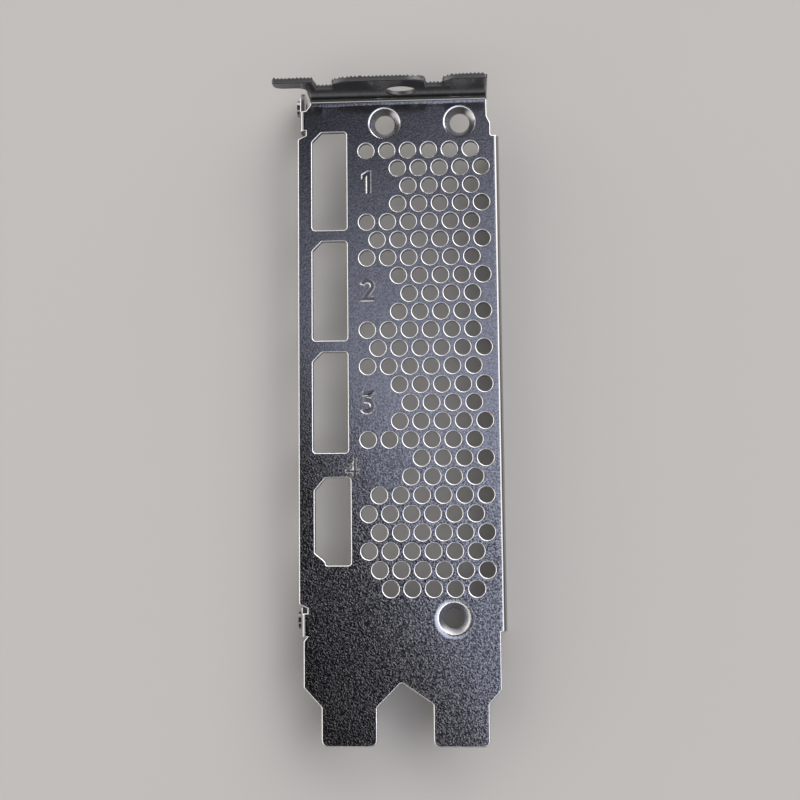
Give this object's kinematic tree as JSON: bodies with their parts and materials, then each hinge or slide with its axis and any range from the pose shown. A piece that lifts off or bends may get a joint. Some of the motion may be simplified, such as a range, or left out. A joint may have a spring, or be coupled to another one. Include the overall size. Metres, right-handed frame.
{
  "type": "graphics card bracket",
  "caption": "Folded sheet-steel bracket that closes the end of a wide graphics card, with connector windows, round vents, pressed screw seats, lugs and a notched screw flange.",
  "frame": {"origin": "middle of the bounding box, on the plane that the lugs and the side flange stand on", "axes": "+X across the slots towards the side flange, +Y from the tongues to the screw flange, +Z out of the outside face"},
  "size_m": [0.0414, 0.1222, 0.0194],
  "materials": {
    "plated_steel": "black nickel plating over sheet steel, satin with a fine grain, bright on the rolled edges"
  },
  "bodies": {
    "root": {"bracket": "plated_steel"}
  },
  "joints": []
}
